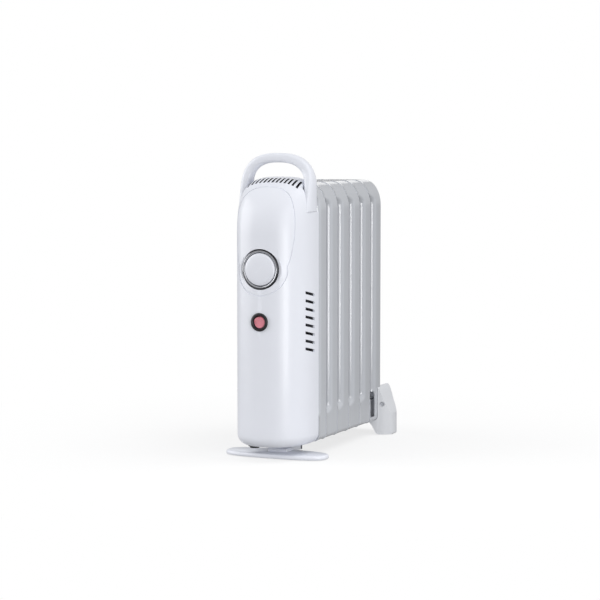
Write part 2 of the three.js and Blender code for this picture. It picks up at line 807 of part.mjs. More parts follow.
function addWiring() {
  const g = glandAt;
  const low = cover.bottom;
  const bush = cut(
    join(
      rodZ(g.radius, low - 5, low + cover.wall + 8, g.x, g.y),
      rodZ(g.radius + 2, low - 3, low - gap, g.x, g.y),
    ),
    rodZ(3.7, low - 9, low + 30, g.x, g.y),
  );
  piece("cord_gland", bush, finish.blackPlastic);
  const back = shield.front - gap;
  piece("terminal_block", box(-16, 16, back - 12, back, 88, 100), finish.ceramic);
  piece("thermal_cutout", rodY(8, back - 5, back, 0, 200, 20), finish.ceramic);
  const z = rocker.z;
  wire("live_wire", [
    [-12, -24, 94],
    [-22, -32, 110],
    [-20, -40, 150],
    [-4.5, -38, z - 5],
  ]);
  wire("thermostat_wire", [
    [4.5, -38, z + 5],
    [14, -34, 195],
    [16, -34, 215],
    [8, -37, dial.z - 18],
  ]);
  wire("element_wire", [
    [6, -34, oil.low + element.legs],
    [20, -36, 90],
    [24, -34, 150],
    [20, -20, 190],
    [10.5, -10.5, 200],
  ]);
}

// ---------------------------------------------------------------- feet
const footScrewX = [-40, 40];
const footScrewZ = 50;
function padAt(name, x, y) {
  piece(name, rodZ(pad.radius, 0, pad.thick, x, y, 20), finish.rubber);
}
const padRecess = (x, y) => rodZ(pad.radius + gap, -1, pad.thick + gap, x, y, 20);

function addFrontFoot() {
  const f = frontFoot;
  const plan = superOutline(f.halfWidth, f.halfDepth, f.squareness, f.y, 44);
  const base = alongZ(plan, f.bottom, f.top, 1.5);
  const columnFront = finY(0) + fins.flange + 1.5;
  const columnBack = panelFront(1) - 0.6;
  const cradle = oil.bore + oil.collarWall + gap;
  const boltY = (columnFront + columnBack) / 2;
  const boltX = cradle + uBolt.rod + uBolt.clearance;
  const n = frontFoot.neck;
  const saddle = boltX + 5;
  // a narrow neck under the fins carries a wide saddle between the first two
  const neck = join(
    box(-n, n, 1, columnBack, f.top - 3, fins.bottom - 3),
    box(-n, n, f.y, 3, f.top - 3, f.top + 4),
    box(-n, n, columnFront, columnBack, f.top - 3, oil.low - 10),
    box(-saddle, saddle, columnFront, columnBack, oil.low - 30, oil.low - 10),
  );
  const column = cut(neck, rodY(cradle, columnFront - 5, columnBack + 5, 0, oil.low, 24));
  const boltHoles = [-boltX, boltX].map((x) => rodZ(uBolt.rod + gap, 12, oil.low, x, boltY, 12));
  const padSpots = [-52, 52].map((x) => [x, f.y]);
  const body = cut(join(base, column), ...boltHoles, ...padSpots.map(([x, y]) => padRecess(x, y)));
  piece("front_foot", body, finish.whitePlastic);
  padSpots.forEach(([x, y], i) => padAt(`front_pad_${i + 1}`, x, y));

  const nutTop = oil.low - 30 - gap;
  const legs = [-boltX, boltX].map((x) => rodZ(uBolt.rod, nutTop - 4, oil.low + 0.2, x, boltY, 10));
  const arc = halfRing(boltX, uBolt.rod).translate([0, boltY, oil.low]);
  piece("foot_u_bolt", join(arc, ...legs), finish.steel);
  [-boltX, boltX].forEach((x, i) => {
    const nut = rodZ(3.8, nutTop - 3, nutTop, x, boltY, 6);
    piece(`foot_nut_${i + 1}`, cut(nut, rodZ(uBolt.rod + gap, 0, 40, x, boltY, 12)), finish.steel);
  });
}

function addRearFoot() {
  const lastBack = finY(fins.count - 1) + fins.flange;
  const f = { ...rearFoot, y: lastBack + rearFoot.behind };
  const half = [
    [34, f.arch],
    [38.5, 17],
    [42, 12.5],
    [45, 6.5],
    [47.5, 2.4],
    [50, f.bottom],
    [65.5, f.bottom],
    [f.halfWidth, f.bottom + 1.5],
    [f.halfWidth, 15],
    [66.4, 24],
    [64.4, 32],
    [60.8, 40],
    [57.5, 47],
    [55, 54],
    [52.6, 60],
    [50.5, 64],
    [48, 66.5],
    [44, 65.5],
    [38, 59],
  ];
  const mirrored = half.map(([x, z]) => [-x, z]).reverse();
  const front = alongY(polygon([...half, ...mirrored]), f.y - 40, f.y + 40);
  const plan = alongZ(superOutline(f.halfWidth, f.halfDepth, f.squareness, f.y, 40), 0, 90);
  const pocket = alongY(finOutline(-0.4), 150, lastBack + 0.6);
  const recess = [-55, 55].map((x) => rodY(3.2, f.y - 40, f.y - 12, x, 42.5, 16));
  const hollow = box(-30, 30, lastBack + 4, f.y + f.halfDepth - 4, 0, 58);
  const postFront = finY(fins.count - 1) + fins.sheet + gap;
  const posts = footScrewX.map((x) => rodY(5, postFront, lastBack + 3, x, footScrewZ, 16));
  const padSpots = [-57, 57].map((x) => [x, f.y]);
  const body = cut(
    join(cut(front.intersect(plan), pocket, hollow), ...posts),
    ...recess,
    ...footScrewX.map((x) => rodY(2.3, 150, 300, x, footScrewZ, 12)),
    ...footScrewX.map((x) => rodY(4.4, lastBack + 12, 300, x, footScrewZ, 16)),
    ...padSpots.map(([x, y]) => padRecess(x, y)),
  );
  piece("rear_foot", body, finish.greyPlastic);
  padSpots.forEach(([x, y], i) => padAt(`rear_pad_${i + 1}`, x, y));
  footScrewX.forEach((x, i) => {
    const head = lastBack + 12 + gap;
    const end = finY(fins.count - 1) - 4;
    piece(
      `foot_screw_${i + 1}`,
      join(rodY(4, head, head + 3, x, footScrewZ, 14), rodY(2, end, head + 1, x, footScrewZ, 10)),
      finish.steel,
    );
  });
}

// ---------------------------------------------------------------- assembly
addFins();
addOilPlugs();
addHeatingElement();
addCover();
addHandle();
addShield();
addDial();
addThermostat();
addSwitch();
addWiring();
addFrontFoot();
addRearFoot();

heater.updateMatrixWorld(true);
const bounds = new THREE.Box3().setFromObject(heater);
heater.position.y = -(bounds.min.y + bounds.max.y) / 2;

export default heater;
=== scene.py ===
import json
import math

import bmesh
import bpy
from mathutils import Matrix, Vector


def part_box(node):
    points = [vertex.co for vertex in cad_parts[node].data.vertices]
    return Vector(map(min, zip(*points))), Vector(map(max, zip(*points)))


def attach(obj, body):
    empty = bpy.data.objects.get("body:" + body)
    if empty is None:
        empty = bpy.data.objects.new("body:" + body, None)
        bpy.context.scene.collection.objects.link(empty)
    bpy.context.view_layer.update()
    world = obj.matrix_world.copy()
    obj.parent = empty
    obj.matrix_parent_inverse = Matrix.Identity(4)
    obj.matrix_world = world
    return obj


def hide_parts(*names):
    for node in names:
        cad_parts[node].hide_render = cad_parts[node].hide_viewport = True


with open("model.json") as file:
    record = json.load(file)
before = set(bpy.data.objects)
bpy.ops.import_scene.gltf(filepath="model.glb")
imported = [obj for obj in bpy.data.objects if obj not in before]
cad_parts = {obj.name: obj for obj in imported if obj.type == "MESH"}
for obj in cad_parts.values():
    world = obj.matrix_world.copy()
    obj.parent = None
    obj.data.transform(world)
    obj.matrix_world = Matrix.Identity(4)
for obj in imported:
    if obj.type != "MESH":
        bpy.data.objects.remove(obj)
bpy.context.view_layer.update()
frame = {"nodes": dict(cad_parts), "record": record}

MM = 0.001
STACK_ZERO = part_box("front_cover")[1][1]

# ------------------------------------------------------------------ sizes
COVER_HALF, COVER_DEPTH, COVER_BOTTOM, COVER_TOP = 49.5, 70.0, 17.5, 355.0
COVER_WALL, COVER_SQUARENESS = 2.4, 2.6
CROWN_START, CROWN_POWER = 282.0, 2.2
SHOULDER_START, SHOULDER_POWER = 300.0, 3.5
COVER_FILLET = 14.0
DIAL_Z, SWITCH_Z = 241.5, 176.0
DIAL_SEAT = -66.0
FIN_COUNT, FIN_PITCH, FIN_FIRST = 6, 37.4, 2.0
FIN_HALF, FIN_LOW, FIN_HIGH = 49.0, 20.0, 347.0
FIN_CORNER_X, FIN_CORNER_Z, FIN_CORNER_LOW = 24.0, 34.0, 6.0
FIN_FLANGE, FIN_SHEET, FIN_BEND, FIN_HOOD = 23.2, 1.4, 8.0, 14.5
WINDOW_LOW, WINDOW_HIGH, WINDOW_SLANT = 64.0, 316.0, 13.0
NOTCH_HALF = 22.0
OIL_LOW, OIL_HIGH = 58.0, 300.0
HANDLE_TOP, HANDLE_SPRING, HANDLE_LOW = 385.0, 339.5, 312.0
HANDLE_SIDE, HANDLE_CROWN, HANDLE_FRONT, HANDLE_BACK = 11.5, 12.0, -20.0, -4.0
HANDLE_FOOT_FRONT, FLARE_LOW, FLARE_TOP, LEAN_LOW, LEAN_TOP = -30.5, 320.0, 366.0, 345.0, 372.0


def to_row(p):
    return Vector((p[0] * MM, p[1] * MM + STACK_ZERO, p[2] * MM))


# ------------------------------------------------------------------ mesh helpers
def new_object(name, verts, faces, smooth=40.0):
    mesh = bpy.data.meshes.new(name)
    mesh.from_pydata([to_row(v) for v in verts], [], faces)
    mesh.validate()
    obj = bpy.data.objects.new(name, mesh)
    bpy.context.scene.collection.objects.link(obj)
    turn_outward(mesh)
    shade(mesh, smooth)
    return obj


def turn_outward(mesh):
    bm = bmesh.new()
    bm.from_mesh(mesh)
    bmesh.ops.recalc_face_normals(bm, faces=bm.faces)
    bm.to_mesh(mesh)
    bm.free()


def shade(mesh, angle):
    mesh.shade_smooth()
    mesh.set_sharp_from_angle(angle=math.radians(angle))


def skin(rings, ends=True, around=True):
    """Quads over a stack of rings that all have the same number of points."""
    n = len(rings[0])
    verts = [p for ring in rings for p in ring]
    faces = []
    for j in range(len(rings) - 1):
        for i in range(n if around else n - 1):
            k = (i + 1) % n
            faces.append((j * n + i, j * n + k, (j + 1) * n + k, (j + 1) * n + i))
    if ends:
        last = (len(rings) - 1) * n
        faces.append(tuple(range(n - 1, -1, -1)))
        faces.append(tuple(range(last, last + n)))
    return verts, faces


def closed_skin(rings):
    """As skin, but the last ring joins on to the first."""
    verts, faces = skin(rings, ends=False)
    n, m = len(rings[0]), len(rings)
    for i in range(n):
        k = (i + 1) % n
        faces.append(((m - 1) * n + i, (m - 1) * n + k, k, i))
    return verts, faces


def together(*parts):
    """Several (verts, faces) as one."""
    verts, faces = [], []
    for v, f in parts:
        start = len(verts)
        verts.extend(v)
        faces.extend(tuple(i + start for i in face) for face in f)
    return verts, faces


def turned(profile, x, z, sides=96):
    """A solid of revolution about the line along Y through (x, z); profile is a closed list of (r, y)."""
    rings = []
    for i in range(sides):
        a = 2 * math.pi * i / sides
        rings.append([(x + r * math.cos(a), y, z + r * math.sin(a)) for r, y in profile])
    return closed_skin(rings)


def turned_cap(profile, x, z, sides=96):
    """As turned, for an open profile that starts and ends near the axis."""
    rings = []
    for r, y in profile:
        rings.append(
            [
                (x + r * math.cos(2 * math.pi * i / sides), y, z + r * math.sin(2 * math.pi * i / sides))
                for i in range(sides)
            ]
        )
    return skin(rings)


def super_point(a, b, n, t):
    c, s = math.cos(t), math.sin(t)
    return a * math.copysign(abs(c) ** (2 / n), c), b * math.copysign(abs(s) ** (2 / n), s)


def smoothstep(lo, hi, v):
    t = min(1.0, max(0.0, (v - lo) / (hi - lo)))
    return t * t * (3 - 2 * t)


def prism_y(outline, y0, y1):
    return skin([[(x, y, z) for x, z in outline] for y in (y0, y1)])


def block(x0, x1, y0, y1, z0, z1):
    return prism_y([(x0, z0), (x1, z0), (x1, z1), (x0, z1)], y0, y1)


def disc_y(r, y0, y1, x, z, sides=72):
    outline = [
        (x + r * math.cos(2 * math.pi * i / sides), z + r * math.sin(2 * math.pi * i / sides))
        for i in range(sides)
    ]
    return prism_y(outline, y0, y1)


def tube(path, radius, sides=8):
    """A round rod along a closed path."""
    rings = []
    points = [Vector(p) for p in path]
    for i, p in enumerate(points):
        ahead = (points[(i + 1) % len(points)] - points[i - 1]).normalized()
        side = ahead.cross(Vector((0, 1, 0))).normalized()
        other = side.cross(ahead)
        rings.append(
            [
                tuple(
                    p
                    + radius * math.cos(2 * math.pi * k / sides) * side
                    + radius * math.sin(2 * math.pi * k / sides) * other
                )
                for k in range(sides)
            ]
        )
    return closed_skin(rings)


def combine(obj, tool, operation):
    """A boolean with the result kept in obj's mesh; the tool is used up."""
    step = obj.modifiers.new("step", "BOOLEAN")
    step.operation = operation
    step.solver = "EXACT"
    step.object = tool
    settle(obj)
    bpy.data.objects.remove(tool)


def settle(obj):
    """Applies obj's modifiers."""
    shape = bpy.data.meshes.new_from_object(obj.evaluated_get(bpy.context.evaluated_depsgraph_get()))
    obj.modifiers.clear()
    obj.data = shape


def soften(obj, width, segments=2, angle=35.0):
    bevel = obj.modifiers.new("edges", "BEVEL")
    bevel.width = width * MM
    bevel.segments = segments
    bevel.limit_method = "ANGLE"
    bevel.angle_limit = math.radians(angle)
    bevel.use_clamp_overlap = True
    bevel.harden_normals = True


# ------------------------------------------------------------------ shader groups
def group(name, inputs, outputs):
    tree = bpy.data.node_groups.new(name, "ShaderNodeTree")
    for label, kind, value in inputs:
        socket = tree.interface.new_socket(name=label, in_out="INPUT", socket_type=kind)
        socket.default_value = value
    for label, kind in outputs:
        tree.interface.new_socket(name=label, in_out="OUTPUT", socket_type=kind)
    return tree, tree.nodes.new("NodeGroupInput"), tree.nodes.new("NodeGroupOutput")


def fine_grain():
    """Moulded or sprayed surface: a broad waviness with a fine grain on it."""
    tree, inp, out = group(
        "fine_grain",
        [("Scale", "NodeSocketFloat", 900.0), ("Broad", "NodeSocketFloat", 40.0), ("Mix", "NodeSocketFloat", 0.5)],
        [("Height", "NodeSocketFloat"), ("Mask", "NodeSocketFloat")],
    )
    nodes, links = tree.nodes, tree.links
    coord = nodes.new("ShaderNodeTexCoord")
    small, broad = nodes.new("ShaderNodeTexNoise"), nodes.new("ShaderNodeTexNoise")
    small.inputs["Detail"].default_value = 3.0
    broad.inputs["Detail"].default_value = 2.0
    mix = nodes.new("ShaderNodeMix")
    for noise, label in ((small, "Scale"), (broad, "Broad")):
        links.new(coord.outputs["Object"], noise.inputs["Vector"])
        links.new(inp.outputs[label], noise.inputs["Scale"])
    links.new(inp.outputs["Mix"], mix.inputs["Factor"])
    links.new(broad.outputs["Fac"], mix.inputs["A"])
    links.new(small.outputs["Fac"], mix.inputs["B"])
    links.new(mix.outputs["Result"], out.inputs["Height"])
    links.new(broad.outputs["Fac"], out.inputs["Mask"])
    return tree


def edge_wear_and_sheen():
    """1 on sharp outer edges, broken up by noise, and 0 elsewhere: the mask for rubbed wear and a painted edge
    highlight.
    """
    tree, inp, out = group(
        "edge_wear_and_sheen",
        [("Low", "NodeSocketFloat", 0.56), ("High", "NodeSocketFloat", 0.66), ("Scale", "NodeSocketFloat", 160.0)],
        [("Mask", "NodeSocketFloat")],
    )
    nodes, links = tree.nodes, tree.links
    coord = nodes.new("ShaderNodeTexCoord")
    shape = nodes.new("ShaderNodeNewGeometry")
    noise = nodes.new("ShaderNodeTexNoise")
    noise.inputs["Detail"].default_value = 4.0
    spread = nodes.new("ShaderNodeMapRange")
    product = nodes.new("ShaderNodeMath")
    product.operation = "MULTIPLY"
    links.new(coord.outputs["Object"], noise.inputs["Vector"])
    links.new(inp.outputs["Scale"], noise.inputs["Scale"])
    links.new(shape.outputs["Pointiness"], spread.inputs["Value"])
    links.new(inp.outputs["Low"], spread.inputs["From Min"])
    links.new(inp.outputs["High"], spread.inputs["From Max"])
    links.new(spread.outputs["Result"], product.inputs[0])
    links.new(noise.outputs["Fac"], product.inputs[1])
    links.new(product.outputs["Value"], out.inputs["Mask"])
    return tree


def brushed_lines():
    """Fine parallel lines along X, for rolled or turned metal."""
    tree, inp, out = group(
        "brushed_lines",
        [("Scale", "NodeSocketFloat", 500.0)],
        [("Height", "NodeSocketFloat")],
    )
    nodes, links = tree.nodes, tree.links
    coord = nodes.new("ShaderNodeTexCoord")
    stretch = nodes.new("ShaderNodeMapping")
    stretch.inputs["Scale"].default_value = (0.06, 1.0, 1.0)
    noise = nodes.new("ShaderNodeTexNoise")
    noise.inputs["Detail"].default_value = 5.0
    links.new(coord.outputs["Object"], stretch.inputs["Vector"])
    links.new(stretch.outputs["Vector"], noise.inputs["Vector"])
    links.new(inp.outputs["Scale"], noise.inputs["Scale"])
    links.new(noise.outputs["Fac"], out.inputs["Height"])
    return tree


GRAIN, WEAR_AND_SHEEN, LINES = fine_grain(), edge_wear_and_sheen(), brushed_lines()


def finish_of(name, color, rough, vary=0.03, metal=0.0, grain=900.0, bump=0.04, wear_and_sheen=None, coat=0.0, lines=0.0):
    """A finish: colour and roughness that vary slowly, a fine relief, and another colour on sharp edges, by default
    lighter: partly rubbed wear, partly a painted edge highlight.
    """
    material = bpy.data.materials.new(name)
    material.use_nodes = True
    nodes, links = material.node_tree.nodes, material.node_tree.links
    shader = nodes["Principled BSDF"]
    shader.inputs["Metallic"].default_value = metal
    shader.inputs["Coat Weight"].default_value = coat
    shader.inputs["Coat Roughness"].default_value = 0.12
    relief = nodes.new("ShaderNodeGroup")
    relief.node_tree = LINES if lines else GRAIN
    relief.inputs["Scale"].default_value = lines or grain

    patch = relief
    if lines:
        patch = nodes.new("ShaderNodeGroup")
        patch.node_tree = GRAIN
    tint = nodes.new("ShaderNodeMix")
    tint.data_type = "RGBA"
    tint.inputs["A"].default_value = (*[c * (1 - vary) for c in color], 1)
    tint.inputs["B"].default_value = (*[min(1.0, c * (1 + vary)) for c in color], 1)
    links.new(patch.outputs["Mask"], tint.inputs["Factor"])
    # sharp outer edges get a lighter colour: rubbed wear together with a painted highlight along the edges
    worn_and_lit = nodes.new("ShaderNodeGroup")
    worn_and_lit.node_tree = WEAR_AND_SHEEN
    edge = nodes.new("ShaderNodeMix")
    edge.data_type = "RGBA"
    links.new(worn_and_lit.outputs["Mask"], edge.inputs["Factor"])
    links.new(tint.outputs["Result"], edge.inputs["A"])
    edge.inputs["B"].default_value = (*(wear_and_sheen or [min(1.0, c * 1.12 + 0.01) for c in color]), 1)
    links.new(edge.outputs["Result"], shader.inputs["Base Color"])
    rub = nodes.new("ShaderNodeMapRange")
    rub.inputs["To Min"].default_value = max(0.04, rough - 0.05)
    rub.inputs["To Max"].default_value = rough + 0.05
    links.new(patch.outputs["Mask"], rub.inputs["Value"])
    links.new(rub.outputs["Result"], shader.inputs["Roughness"])
    dent = nodes.new("ShaderNodeBump")
    dent.inputs["Strength"].default_value = bump
    dent.inputs["Distance"].default_value = 0.0003
    links.new(relief.outputs["Height"], dent.inputs["Height"])
    links.new(dent.outputs["Normal"], shader.inputs["Normal"])
    return material


FINISHES = {
    "white_plastic": finish_of("white_plastic", (0.80, 0.82, 0.885), 0.34, 0.012, bump=0.08, coat=0.15),
    "grey_plastic": finish_of("grey_plastic", (0.74, 0.755, 0.79), 0.38, 0.02, bump=0.12, coat=0.1),
    "fin_paint": finish_of("fin_paint", (0.55, 0.57, 0.61), 0.24, 0.02, grain=350.0, bump=0.05, wear_and_sheen=(0.56, 0.58, 0.62), coat=1.0),
    "chrome_trim": finish_of("chrome_trim", (0.74, 0.75, 0.79), 0.12, 0.02, metal=1.0, bump=0.02),
    # near-black metal for the dial trim's edges: a painted dark reflection on the chrome
    "painted_dark_reflection": finish_of("painted_dark_reflection", (0.05, 0.052, 0.058), 0.25, 0.05, metal=1.0, bump=0.03),
    "steel": finish_of("steel", (0.56, 0.57, 0.59), 0.32, 0.06, metal=1.0, bump=0.12, lines=700.0),
    "black_plastic": finish_of("black_plastic", (0.018, 0.017, 0.020), 0.32, 0.1, bump=0.15),
    "red_plastic": finish_of("red_plastic", (0.92, 0.27, 0.33), 0.2, 0.05, bump=0.04, coat=0.5),
    "rubber": finish_of("rubber", (0.03, 0.03, 0.032), 0.78, 0.15, bump=0.4),
    "ceramic": finish_of("ceramic", (0.72, 0.67, 0.57), 0.6, 0.05, bump=0.25),
    "brass": finish_of("brass", (0.72, 0.53, 0.25), 0.28, 0.08, metal=1.0, bump=0.1, lines=700.0),
    "wire_insulation": finish_of("wire_insulation", (0.20, 0.09, 0.05), 0.55, 0.1, bump=0.3),
}
FINISHES["red_plastic"].node_tree.nodes["Principled BSDF"].inputs["Subsurface Weight"].default_value = 0.25
SLOT_OF = {s["node"]: s["material_slot"] for s in frame["record"]["subparts"]}


def dress(obj, slot):
    obj.data.materials.clear()
    obj.data.materials.append(FINISHES[slot])


def stand_for(obj, slot, body, node):
    dress(obj, slot)
    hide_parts(node)
    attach(obj, body)


# ------------------------------------------------------------------ control housing
def cover_rings(inset, behind, around=72, crown=44):
    low, high = COVER_BOTTOM + inset, COVER_TOP - inset
    levels = [low + COVER_FILLET * (1 - math.cos(math.pi / 2 * i / 8)) for i in range(9)]
    levels += [low + COVER_FILLET + (CROWN_START - low - COVER_FILLET) * i / 18 for i in range(1, 19)]
    levels += [CROWN_START + (high - CROWN_START) * math.sin(math.pi / 2 * i / crown) for i in range(1, crown + 1)]

    def fall(t, n):
        return max(0.02, (1 - min(1.0, t) ** n) ** (1 / n))

    rings = []
    for z in levels:
        lift = max(0.0, 1 - (z - low) / COVER_FILLET)
        fillet = COVER_FILLET * (1 - math.sqrt(max(0.0, 1 - lift * lift)))
        t_side = max(0.0, (z - SHOULDER_START) / (high - SHOULDER_START))
        t_front = max(0.0, (z - CROWN_START) / (high - CROWN_START))
        a = (COVER_HALF - inset - fillet) * fall(t_side, SHOULDER_POWER)
        d = (COVER_DEPTH - inset - fillet) * fall(t_front, CROWN_POWER)
        ring = []
        for i in range(around + 1):
            x, y = super_point(a, d, COVER_SQUARENESS, math.pi * i / around)
            ring.append((x, -y, z))
        if behind:
            ring += [(-a, behind, z), (a, behind, z)]
        rings.append(ring)
    return rings


def cover_front(x, z):
    """y of the cover's outside at (x, z)."""
    t_front = max(0.0, (z - CROWN_START) / (COVER_TOP - CROWN_START))
    t_side = max(0.0, (z - SHOULDER_START) / (COVER_TOP - SHOULDER_START))
    d = COVER_DEPTH * (1 - t_front**CROWN_POWER) ** (1 / CROWN_POWER)
    a = COVER_HALF * (1 - t_side**SHOULDER_POWER) ** (1 / SHOULDER_POWER)
    return -d * (1 - min(0.999, abs(x) / a) ** COVER_SQUARENESS) ** (1 / COVER_SQUARENESS)


def shield_line():
    """The shallow line that frames the dial: an arch above it and an arc below it."""
    half = [(0, 343), (13, 342), (25, 337), (33, 328), (38, 312), (39.2, 296), (38.8, 280), (37, 265), (34.6, 251)]
    for i in range(9):
        a = math.radians(8 - 98 * i / 8)
        half.append((33.2 * math.cos(a), DIAL_Z + 33.2 * math.sin(a)))
    loop = half + [(-x, z) for x, z in reversed(half[1:-1])]
    fine = []
    n = len(loop)
    for i in range(n):
        p0, p1, p2, p3 = (loop[(i + k) % n] for k in (-1, 0, 1, 2))
        for s in range(6):
            t = s / 6
            fine.append(
                tuple(
                    0.5
                    * (2 * b + (c - a) * t + (2 * a - 5 * b + 4 * c - d) * t * t + (3 * b - a - 3 * c + d) * t**3)
                    for a, b, c, d in zip(p0, p1, p2, p3)
                )
            )
    return [(x, cover_front(x, z), z) for x, z in fine]


def slanted_slot(side, z):
    x0, x1 = (30, 60) if side > 0 else (-60, -30)
    ends = []
    for x in (x0, x1):
        ends.append([(x, -34, z + 4.1), (x, -12, z - 0.5), (x, -12, z - 4.1), (x, -34, z + 0.5)])
    return skin(ends)


def make_cover():
    cover = new_object("cover_shell", *skin(cover_rings(0, 0)))
    combine(cover, new_object("t", *disc_y(27.9, DIAL_SEAT, -58, 0, DIAL_Z)), "UNION")
    combine(cover, new_object("t", *skin(cover_rings(COVER_WALL, 5))), "DIFFERENCE")
    combine(cover, new_object("t", *disc_y(27.6, -63, -60, 0, DIAL_Z)), "UNION")
    tools = [disc_y(25.5, -90, DIAL_SEAT, 0, DIAL_Z), disc_y(10.1, -90, -50, 0, SWITCH_Z)]
    tools += [disc_y(5.2, -66.5, -55, 0, DIAL_Z, 32)]
    for i in range(13):
        x = (i - 6) * 5.6
        tools.append(block(x - 1.3, x + 1.3, -33, -17.5, 325, 365))
    for i in range(8):
        for side in (-1, 1):
            tools.append(slanted_slot(side, 209.4 - 10.05 * i))
    inner = COVER_HALF - HANDLE_SIDE - 0.4
    heights = [HANDLE_LOW - 0.3 + 4 * i for i in range(20)]
    edge = [(8, heights[0]), (8, heights[-1])] + [(handle_front(z) - 0.3, z) for z in reversed(heights)]
    for x0, x1 in ((inner, 70), (-70, -inner)):
        tools.append(skin([[(x, y, z) for y, z in edge] for x in (x0, x1)]))
    combine(cover, new_object("t", *together(*tools)), "DIFFERENCE")
    combine(cover, new_object("t", *tube(shield_line(), 0.95)), "DIFFERENCE")
    shade(cover.data, 32)
    stand_for(cover, "white_plastic", "heater", "front_cover")
    # painted shade: the side walls of the slots over the top get black plastic, so the slots look dark inside
    cover.data.materials.append(FINISHES["black_plastic"])
    for face in cover.data.polygons:
        c = (face.center - to_row((0, 0, 0))) / MM
        beside = min(abs(c.x - (i - 6) * 5.6) for i in range(13))
        if c.z > 330 and -33.1 < c.y < -17.4 and beside < 1.32 and abs(face.normal.z) < 0.35:
            face.material_index = 1


def eased(z, z0, y0, z1, y1):
    """A straight run from (z0, y0) to (z1, y1), level beyond both, with softened corners."""
    t = sum(min(1.0, max(0.0, (z + d - z0) / (z1 - z0))) for d in (-6, -3, 0, 3, 6)) / 5
    return y0 + (y1 - y0) * t


def handle_front(z):
    return eased(z, FLARE_LOW, HANDLE_FOOT_FRONT, FLARE_TOP, HANDLE_FRONT)


def handle_back(z):
    return eased(z, LEAN_LOW, 0.0, LEAN_TOP, HANDLE_BACK)


def make_handle():
    rings = []
    steps = 64

    def section(outer, inner):
        middle, across = (outer + inner) / 2, outer - inner
        half, direction = across.length / 2, across.normalized()
        front, back = handle_front(outer.y), handle_back(outer.y)
        ring = []
        for i in range(32):
            u, v = super_point(half, (back - front) / 2, 3.0, 2 * math.pi * (i + 0.5) / 32)
            p = middle + direction * u
            ring.append((p.x, v + (front + back) / 2, p.y))
        return ring

    legs = [HANDLE_LOW + (HANDLE_SPRING - HANDLE_LOW) * i / 14 for i in range(14)]
    side_inner = COVER_HALF - HANDLE_SIDE
    for z in legs:
        rings.append(section(Vector((COVER_HALF, z)), Vector((side_inner, z))))
    for i in range(steps + 1):
        t = math.pi * i / steps
        ox, oz = super_point(COVER_HALF, HANDLE_TOP - HANDLE_SPRING, 2.6, t)
        ix, iz = super_point(side_inner, HANDLE_TOP - HANDLE_CROWN - HANDLE_SPRING, 2.6, t)
        rings.append(section(Vector((ox, oz + HANDLE_SPRING)), Vector((ix, iz + HANDLE_SPRING))))
    for z in reversed(legs):
        rings.append(section(Vector((-COVER_HALF, z)), Vector((-side_inner, z))))
    handle = new_object("carry_handle", *skin(rings))
    stand_for(handle, "white_plastic", "heater", "handle")


# ------------------------------------------------------------------ fins
def fin_edge():
    """Points round a fin's outline as (x, z, inward x, inward z), anticlockwise from the lower right corner."""
    points = []

    def arc(cx, cz, rx, rz, a0, a1, steps):
        for i in range(steps + 1):
            a = math.radians(a0 + (a1 - a0) * i / steps)
            n = Vector((-math.cos(a) / rx, -math.sin(a) / rz)).normalized()
            points.append((cx + rx * math.cos(a), cz + rz * math.sin(a), n.x, n.y))

    def side(x, zs, nx):
        points.extend((x, z, nx, 0.0) for z in zs)

    rb, rx, rz = FIN_CORNER_LOW, FIN_CORNER_X, FIN_CORNER_Z
    ups = [34, 45, 51, 53, 55, 57, 59, 61, 63, 64, 66, 90, 140, 190, 240, 290, 308, 311]
    flat = [30, 26, 22.2, 21.6, 21, 20.4]
    arc(FIN_HALF - rb, FIN_LOW + rb, rb, rb, -90, 0, 12)
    side(FIN_HALF, ups, -1.0)
    arc(FIN_HALF - rx, FIN_HIGH - rz, rx, rz, 0, 90, 20)
    points.extend((x, FIN_HIGH, 0.0, -1.0) for x in (22.2, 21.6, 21, 20.4, 0, -20.4, -21, -21.6, -22.2))
    arc(rx - FIN_HALF, FIN_HIGH - rz, rx, rz, 90, 180, 20)
    side(-FIN_HALF, reversed(ups), 1.0)
    arc(rb - FIN_HALF, FIN_LOW + rb, rb, rb, 180, 270, 12)
    points.extend((-x, FIN_LOW, 0.0, 1.0) for x in flat)
    points.extend((x, FIN_LOW, 0.0, 1.0) for x in (0, *reversed(flat)))
    return points


FIN_LIP = 0.7  # how far the hood's front edge stands proud


def hood_share(x, z):
    """(how far the fold has opened out, how far the hood reaches forward), both 0 to 1."""
    below = (WINDOW_LOW - z) / WINDOW_SLANT
    above = (z - WINDOW_HIGH) / WINDOW_SLANT
    opened = smoothstep(0, 1, max(below, above))
    reach = opened * smoothstep(NOTCH_HALF - 1.5, NOTCH_HALF, abs(x))
    return opened, reach


def fin_rim(hood):
    bend, t = FIN_BEND, FIN_SHEET
    angles = [math.radians(90 * j / 8) for j in range(9)]
    folded = [(0, FIN_FLANGE), (0, 14.0)]
    folded += [(bend - bend * math.cos(a), bend - bend * math.sin(a)) for a in angles]
    folded += [(bend + 1, 0), (bend + 1, t)]
    folded += [(bend - (bend - t) * math.cos(a), bend - (bend - t) * math.sin(a)) for a in reversed(angles)]
    folded += [(t, 14.0), (t, FIN_FLANGE)]
    rings = []
    for x, z, nx, nz in fin_edge():
        opened, reach = hood_share(x, z)
        front = -hood * reach
        straight = [(0, FIN_FLANGE), (0, 14.0)]
        straight += [(0, bend + (front - bend) * j / 8) for j in range(9)]
        straight += [(t * 0.25, front - 0.001), (t * 0.75, front - 0.001)]
        straight += [(t, front + (bend - front) * j / 8) for j in range(9)]
        straight += [(t, 14.0), (t, FIN_FLANGE)]
        ring = []
        for (n0, y0), (n1, y1) in zip(folded, straight):
            n, y = n0 + (n1 - n0) * opened, y0 + (y1 - y0) * opened
            n -= FIN_LIP * reach * smoothstep(front + 5, front, y)
            ring.append((x + nx * n, y, z + nz * n))
        rings.append(ring)
    return closed_skin(rings)


